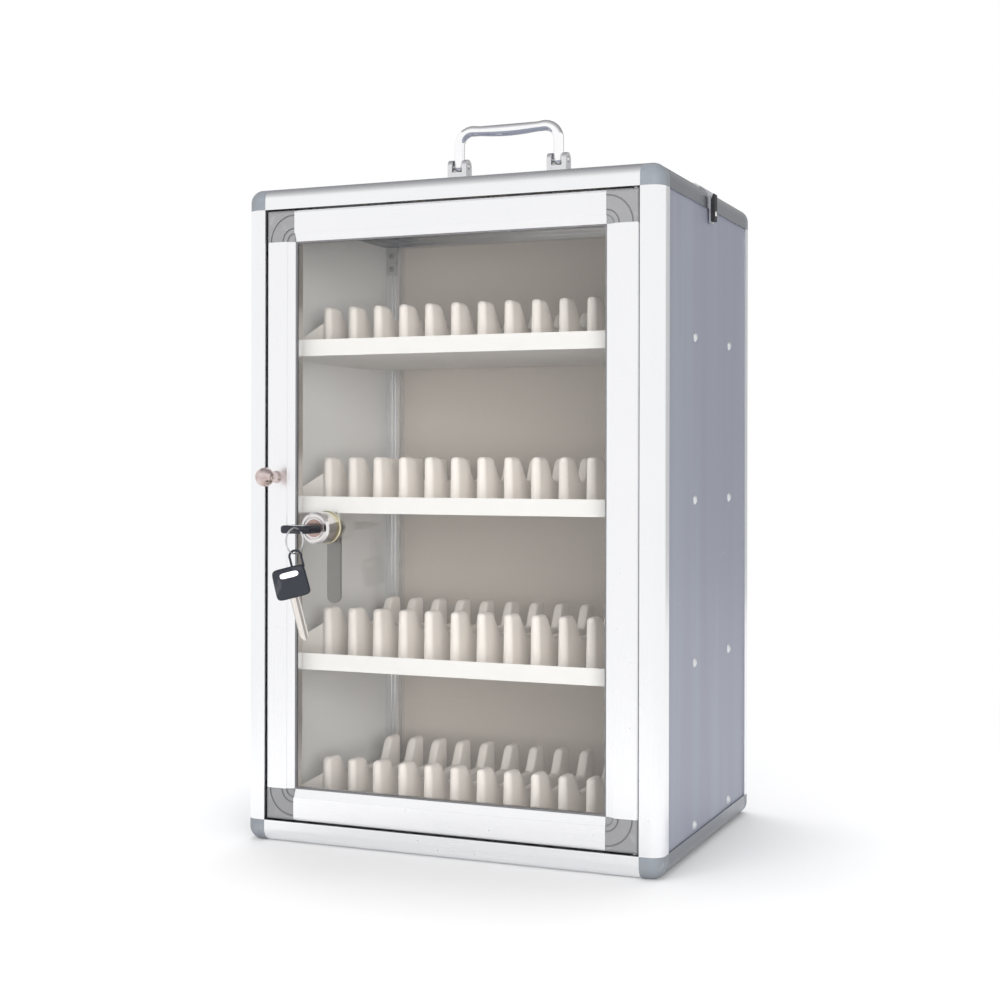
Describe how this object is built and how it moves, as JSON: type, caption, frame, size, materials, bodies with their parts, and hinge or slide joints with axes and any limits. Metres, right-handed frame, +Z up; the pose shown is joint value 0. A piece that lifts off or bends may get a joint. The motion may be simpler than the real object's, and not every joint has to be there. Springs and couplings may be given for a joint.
{
  "type": "phone locker cabinet",
  "caption": "Glazed storage cabinet with divider trays for phones, a hinged and locked glass door, keys on a ring and a folding carrying handle on top.",
  "frame": {"origin": "middle of the case's outline on the plane it stands on", "axes": "+Z up, +X to the right as seen from the door's side, +Y from the door towards the back panel"},
  "size_m": [0.4122, 0.3816, 0.6757],
  "materials": {
    "frame_bar": "satin anodised",
    "corner_cap": "grey, satin",
    "side_panel": "satin silver-grey",
    "back_panel": "satin warm grey",
    "tray": "white powder coat",
    "divider": "moulded ivory plastic",
    "fastener": "bright zinc",
    "washer": "black nylon",
    "bracket": "satin nickel",
    "bail": "polished",
    "edge_plate": "satin",
    "edge_pad": "black, matt",
    "door_profile": "pale satin",
    "door_corner": "grey, satin",
    "glass": "clear float glass",
    "seal": "dark grey, matt",
    "knob": "polished, warm nickel",
    "lock": "polished",
    "plug": "polished, warm nickel",
    "cam": "zinc plated",
    "blade": "nickel, milled",
    "bow": "black, semi-gloss",
    "ring": "polished steel wire"
  },
  "bodies": {
    "case": {"post_front_left": "frame_bar", "post_front_right": "frame_bar", "post_rear_left": "frame_bar", "post_rear_right": "frame_bar", "rail_front_top": "frame_bar", "rail_front_bottom": "frame_bar", "rail_rear_top": "frame_bar", "rail_rear_bottom": "frame_bar", "rail_left_top": "frame_bar", "rail_left_bottom": "frame_bar", "rail_right_top": "frame_bar", "rail_right_bottom": "frame_bar", "corner_caps_top": "corner_cap", "corner_caps_bottom": "corner_cap", "side_panel_left": "side_panel", "side_panel_right": "side_panel", "back_panel": "back_panel", "top_panel": "side_panel", "bottom_panel": "side_panel", "tray_1": "tray", "tray_2": "tray", "tray_3": "tray", "tray_4": "tray", "dividers_1": "divider", "dividers_2": "divider", "dividers_3": "divider", "dividers_4": "divider", "tray_rivets": "fastener", "rear_brackets": "fastener", "hinge_pins": "fastener", "hinge_washers": "washer", "handle_bracket_left": "bracket", "handle_bracket_right": "bracket", "handle_pins": "fastener", "edge_plates": "edge_plate", "edge_pads": "edge_pad"},
    "door": {"door_stile_left": "door_profile", "door_stile_right": "door_profile", "door_rail_top": "door_profile", "door_rail_bottom": "door_profile", "door_corner_top_left": "door_corner", "door_corner_top_right": "door_corner", "door_corner_bottom_left": "door_corner", "door_corner_bottom_right": "door_corner", "door_glass": "glass", "door_knob": "knob", "glass_seal": "seal", "knob_screw": "fastener", "lock_body": "lock", "lock_nut": "lock"},
    "handle": {"handle_bail": "bail"},
    "plug": {"lock_plug": "plug", "lock_cam": "cam", "cam_screw": "fastener"},
    "key": {"key_blade": "blade", "key_bow": "bow"},
    "ring": {"key_ring": "ring"},
    "spare_key": {"spare_key_blade": "blade", "spare_key_bow": "bow"}
  },
  "joints": [
    {"name": "door_swing", "type": "hinge", "parent": "case", "child": "door", "pos_m": [0.1755, -0.1455, 0.3], "axis": [0, 0, 1], "range_deg": [0, 95]},
    {"name": "handle_fold", "type": "hinge", "parent": "case", "child": "handle", "pos_m": [0, 0, 0.636], "axis": [1, 0, 0], "range_deg": [-90, 90]},
    {"name": "lock_turn", "type": "hinge", "parent": "door", "child": "plug", "pos_m": [-0.118, -0.144, 0.2895], "axis": [0, 1, 0], "range_deg": [0, 90]},
    {"name": "key_slide", "type": "slide", "parent": "plug", "child": "key", "axis": [0, -1, 0], "range_m": [0, 0.03]},
    {"name": "ring_swing", "type": "hinge", "parent": "key", "child": "ring", "pos_m": [-0.109, -0.219, 0.2895], "axis": [1, 0, 0], "range_deg": [-12, 4]},
    {"name": "spare_key_swing", "type": "hinge", "parent": "ring", "child": "spare_key", "pos_m": [-0.109, -0.219, 0.2696], "axis": [0.5, -0.866, 0], "range_deg": [-15, 15]}
  ]
}
